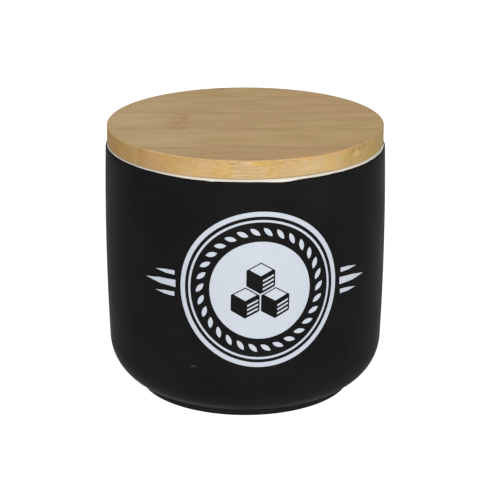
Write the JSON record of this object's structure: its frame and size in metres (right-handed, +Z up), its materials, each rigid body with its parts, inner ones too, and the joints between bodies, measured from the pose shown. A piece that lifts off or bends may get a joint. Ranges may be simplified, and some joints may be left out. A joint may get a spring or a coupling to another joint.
{
  "type": "sugar bowl",
  "caption": "Round stoneware sugar bowl with a matt black coat, a printed badge and a lift-off bamboo lid whose plug carries a silicone sealing ring.",
  "frame": {"origin": "on the table, under the middle of the foot", "axes": "+Z up along the jar's axis; the badge faces -Y, a little towards +X; the lid's strips run along X"},
  "size_m": [0.101, 0.1011, 0.0974],
  "materials": {
    "jar_glaze": "gloss white glaze, with a bare clay foot ring",
    "matt_coat": "matt black coat",
    "print": "satin bluish-white fired print",
    "bamboo_plate": "oiled bamboo, grain along X",
    "bamboo_plug": "oiled bamboo, grain along Y",
    "silicone": "translucent white silicone"
  },
  "bodies": {
    "jar": {"jar_body": "jar_glaze", "outer_glaze": "matt_coat", "label_print": "print"},
    "seal": {"seal_ring": "silicone"},
    "lid": {"lid_plate_strip_1": "bamboo_plate", "lid_plate_strip_2": "bamboo_plate", "lid_plate_strip_3": "bamboo_plate", "lid_plate_strip_4": "bamboo_plate", "lid_plate_strip_5": "bamboo_plate", "lid_plug_strip_1": "bamboo_plug", "lid_plug_strip_2": "bamboo_plug", "lid_plug_strip_3": "bamboo_plug", "lid_plug_strip_4": "bamboo_plug"}
  },
  "joints": [
    {"name": "lid_lift", "type": "slide", "parent": "jar", "child": "seal", "axis": [0, 0, 1], "range_m": [0, 0.12]},
    {"name": "lid_turn", "type": "hinge", "parent": "seal", "child": "lid", "pos_m": [0, 0, 0.0908], "axis": [0, 0, 1], "continuous": true}
  ]
}
